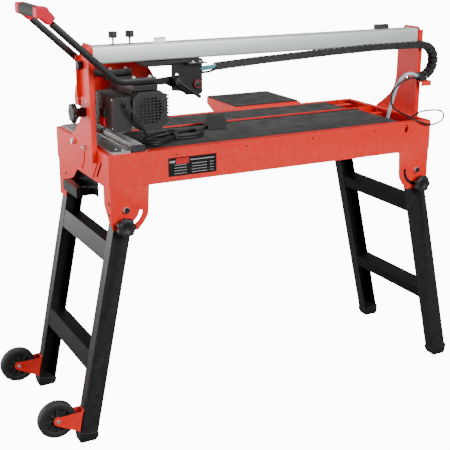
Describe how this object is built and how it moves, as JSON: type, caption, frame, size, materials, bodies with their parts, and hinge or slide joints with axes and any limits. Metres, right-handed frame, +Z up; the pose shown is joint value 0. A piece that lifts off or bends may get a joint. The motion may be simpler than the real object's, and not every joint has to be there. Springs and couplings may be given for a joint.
{
  "type": "tile cutter",
  "caption": "Bridge tile saw: a motor and blade slide under a tilting beam over a water tray with tables, on a folding leg stand with two wheels.",
  "frame": {"origin": "on the floor, under the middle of the machine without its cords", "axes": "+X along the beam towards the water pump end, +Y from the user to the back, +Z up"},
  "size_m": [1.6286, 0.796, 1.3777],
  "materials": {
    "red_paint": "red powder coat",
    "black_paint": "black satin powder coat",
    "table_coating": "charcoal textured coating",
    "aluminium": "satin anodised",
    "bright_steel": "bright zinc",
    "black_plastic": "fine moulded black",
    "grip_rubber": "dark grey soft grip",
    "crimson_plastic": "crimson moulded",
    "green_plastic": "green moulded",
    "motor_casting": "black painted casting",
    "wheel_plastic": "hard black wheel",
    "clear_hose": "clear pale blue",
    "cable_rubber": "black cable sheath",
    "chain_plastic": "black links"
  },
  "bodies": {
    "frame": {"tray": "red_paint", "front_table": "table_coating", "rear_table": "table_coating", "side_table": "table_coating", "side_table_bracket": "red_paint", "fence_rail": "aluminium", "fence_bar": "aluminium", "fence_end_cap": "black_plastic", "front_left_bracket": "red_paint", "rear_left_bracket": "red_paint", "front_right_bracket": "red_paint", "rear_right_bracket": "red_paint", "lift_handle": "black_paint", "water_pump": "black_plastic", "left_tilt_pin": "bright_steel", "right_tilt_pin": "bright_steel", "mains_hank": "cable_rubber", "mains_plug": "cable_rubber", "water_hose": "clear_hose", "pump_cable": "cable_rubber"},
    "bridge": {"left_tower": "red_paint", "right_tower": "red_paint", "beam": "aluminium", "cable_clip": "black_plastic", "chain_bend": "chain_plastic"},
    "carriage": {"carriage": "black_paint", "plunge_pin": "bright_steel", "chain_run": "chain_plastic", "mains_lead": "cable_rubber"},
    "head": {"head_arm": "black_paint", "motor_body": "motor_casting", "fan_cover": "black_plastic", "switch_box": "black_plastic", "near_handle_bar": "black_paint", "far_handle_bar": "black_paint", "near_grip_end": "crimson_plastic", "far_grip_end": "crimson_plastic", "grip": "grip_rubber", "blade_guard": "red_paint"},
    "blade_shaft": {"blade": "bright_steel", "spindle": "bright_steel"},
    "clamp_lever": {"clamp_lever": "black_plastic"},
    "start_button": {"start_button": "green_plastic"},
    "stop_button": {"stop_button": "crimson_plastic"},
    "bridge_knob": {"bridge_knob": "black_plastic"},
    "stop_knob": {"stop_knob": "black_plastic"},
    "left_beam_knob": {"left_beam_knob": "black_plastic"},
    "right_beam_knob": {"right_beam_knob": "black_plastic"},
    "left_legs": {"left_leg_frame": "black_paint", "front_left_foot": "black_plastic", "rear_left_foot": "black_plastic"},
    "right_legs": {"right_leg_frame": "black_paint", "front_right_foot": "black_plastic", "rear_right_foot": "black_plastic"},
    "front_wheel": {"front_wheel": "wheel_plastic"},
    "rear_wheel": {"rear_wheel": "wheel_plastic"},
    "front_left_leg_knob": {"front_left_leg_knob": "black_plastic"},
    "rear_left_leg_knob": {"rear_left_leg_knob": "black_plastic"},
    "front_right_leg_knob": {"front_right_leg_knob": "black_plastic"},
    "rear_right_leg_knob": {"rear_right_leg_knob": "black_plastic"}
  },
  "joints": [
    {"name": "bridge_tilt", "type": "hinge", "parent": "frame", "child": "bridge", "pos_m": [0.0512, -0.064, 0.924], "axis": [-1, 0, 0], "range_deg": [0, 45]},
    {"name": "carriage_slide", "type": "slide", "parent": "bridge", "child": "carriage", "axis": [1, 0, 0], "range_m": [0, 0.765], "deforming": ["chain_run"]},
    {"name": "head_plunge", "type": "hinge", "parent": "carriage", "child": "head", "pos_m": [-0.2148, -0.257, 1.116], "axis": [0, 1, 0], "range_deg": [0, 11.5]},
    {"name": "lever_turn", "type": "hinge", "parent": "head", "child": "clamp_lever", "pos_m": [-0.28965, -0.286, 1.1292], "axis": [0, -1, 0], "range_deg": [0, 60]},
    {"name": "blade_spin", "type": "hinge", "parent": "head", "child": "blade_shaft", "pos_m": [-0.4098, -0.064, 1.059], "axis": [0, 1, 0], "continuous": true},
    {"name": "start_press", "type": "slide", "parent": "head", "child": "start_button", "axis": [1, 0, 0], "range_m": [0, 0.003], "stiffness_N_per_m": 400},
    {"name": "stop_press", "type": "slide", "parent": "head", "child": "stop_button", "axis": [1, 0, 0], "range_m": [0, 0.003], "stiffness_N_per_m": 400},
    {"name": "bridge_knob_turn", "type": "hinge", "parent": "bridge", "child": "bridge_knob", "pos_m": [-0.5758, -0.174, 1.038], "axis": [1, 0, 0], "range_deg": [0, 360]},
    {"name": "stop_knob_turn", "type": "hinge", "parent": "bridge", "child": "stop_knob", "pos_m": [-0.5678, -0.176, 1.184], "axis": [1, 0, 0], "range_deg": [0, 360]},
    {"name": "left_beam_knob_turn", "type": "hinge", "parent": "bridge", "child": "left_beam_knob", "pos_m": [-0.4698, -0.212, 1.262], "axis": [0, 0, 1], "range_deg": [0, 360]},
    {"name": "right_beam_knob_turn", "type": "hinge", "parent": "bridge", "child": "right_beam_knob", "pos_m": [-0.4148, -0.212, 1.262], "axis": [0, 0, 1], "range_deg": [0, 360]},
    {"name": "left_leg_fold", "type": "hinge", "parent": "frame", "child": "left_legs", "pos_m": [-0.5038, -0.114, 0.762], "axis": [0, -1, 0], "range_deg": [0, 86]},
    {"name": "right_leg_fold", "type": "hinge", "parent": "frame", "child": "right_legs", "pos_m": [0.6062, -0.114, 0.762], "axis": [0, 1, 0], "range_deg": [0, 103]},
    {"name": "front_wheel_spin", "type": "hinge", "parent": "left_legs", "child": "front_wheel", "pos_m": [-0.75233, -0.338, 0.0972], "axis": [0, 1, 0], "continuous": true},
    {"name": "rear_wheel_spin", "type": "hinge", "parent": "left_legs", "child": "rear_wheel", "pos_m": [-0.75233, 0.11, 0.0972], "axis": [0, 1, 0], "continuous": true},
    {"name": "front_left_leg_knob_turn", "type": "hinge", "parent": "left_legs", "child": "front_left_leg_knob", "pos_m": [-0.51377, -0.384, 0.713], "axis": [0, 1, 0], "range_deg": [0, 360]},
    {"name": "rear_left_leg_knob_turn", "type": "hinge", "parent": "left_legs", "child": "rear_left_leg_knob", "pos_m": [-0.51377, 0.156, 0.713], "axis": [0, 1, 0], "range_deg": [0, 360]},
    {"name": "front_right_leg_knob_turn", "type": "hinge", "parent": "right_legs", "child": "front_right_leg_knob", "pos_m": [0.61745, -0.384, 0.71328], "axis": [0, 1, 0], "range_deg": [0, 360]},
    {"name": "rear_right_leg_knob_turn", "type": "hinge", "parent": "right_legs", "child": "rear_right_leg_knob", "pos_m": [0.61745, 0.156, 0.71328], "axis": [0, 1, 0], "range_deg": [0, 360]}
  ]
}
